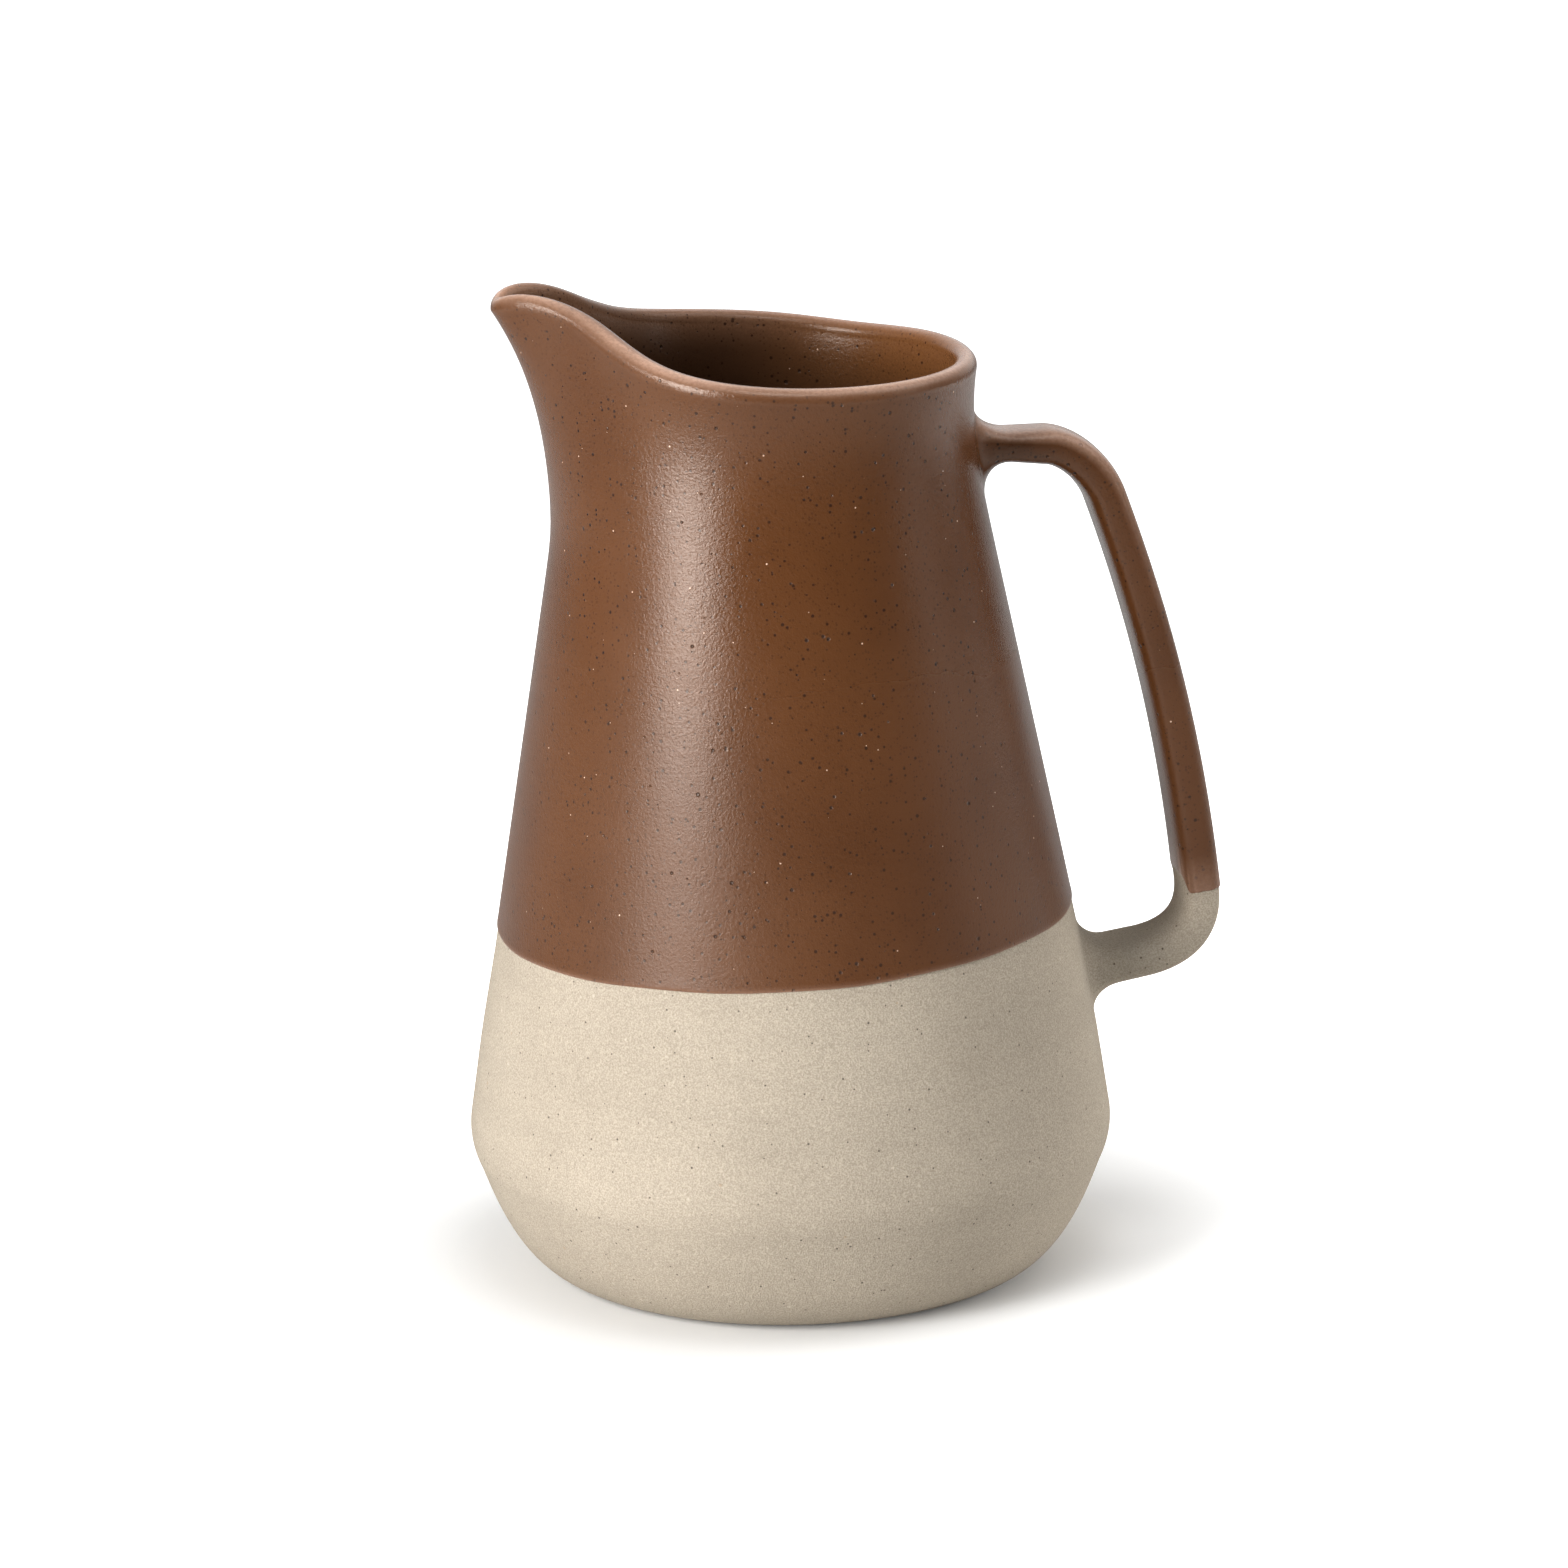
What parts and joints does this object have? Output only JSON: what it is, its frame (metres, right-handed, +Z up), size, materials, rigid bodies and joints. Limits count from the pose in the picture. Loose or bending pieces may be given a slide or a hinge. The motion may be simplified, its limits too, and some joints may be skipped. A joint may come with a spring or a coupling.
{
  "type": "crock jug",
  "caption": "Stoneware crock jug with a round belly, a tapering neck, a pulled spout, a strap handle and glaze over its bare clay foot.",
  "frame": {"origin": "middle of the foot, on the surface the jug stands on", "axes": "+Z up; +X from the middle to the handle, so the spout points to -X; Y across"},
  "size_m": [0.1864, 0.1578, 0.2451],
  "materials": {
    "stoneware": "matte",
    "outer_glaze": "satin",
    "liner_glaze": "satin"
  },
  "bodies": {
    "root": {"stoneware_body": "stoneware", "handle": "stoneware", "upper_handle_fillet": "stoneware", "lower_handle_fillet": "stoneware", "outer_glaze": "outer_glaze", "liner_glaze": "liner_glaze", "handle_glaze": "outer_glaze"}
  },
  "joints": []
}
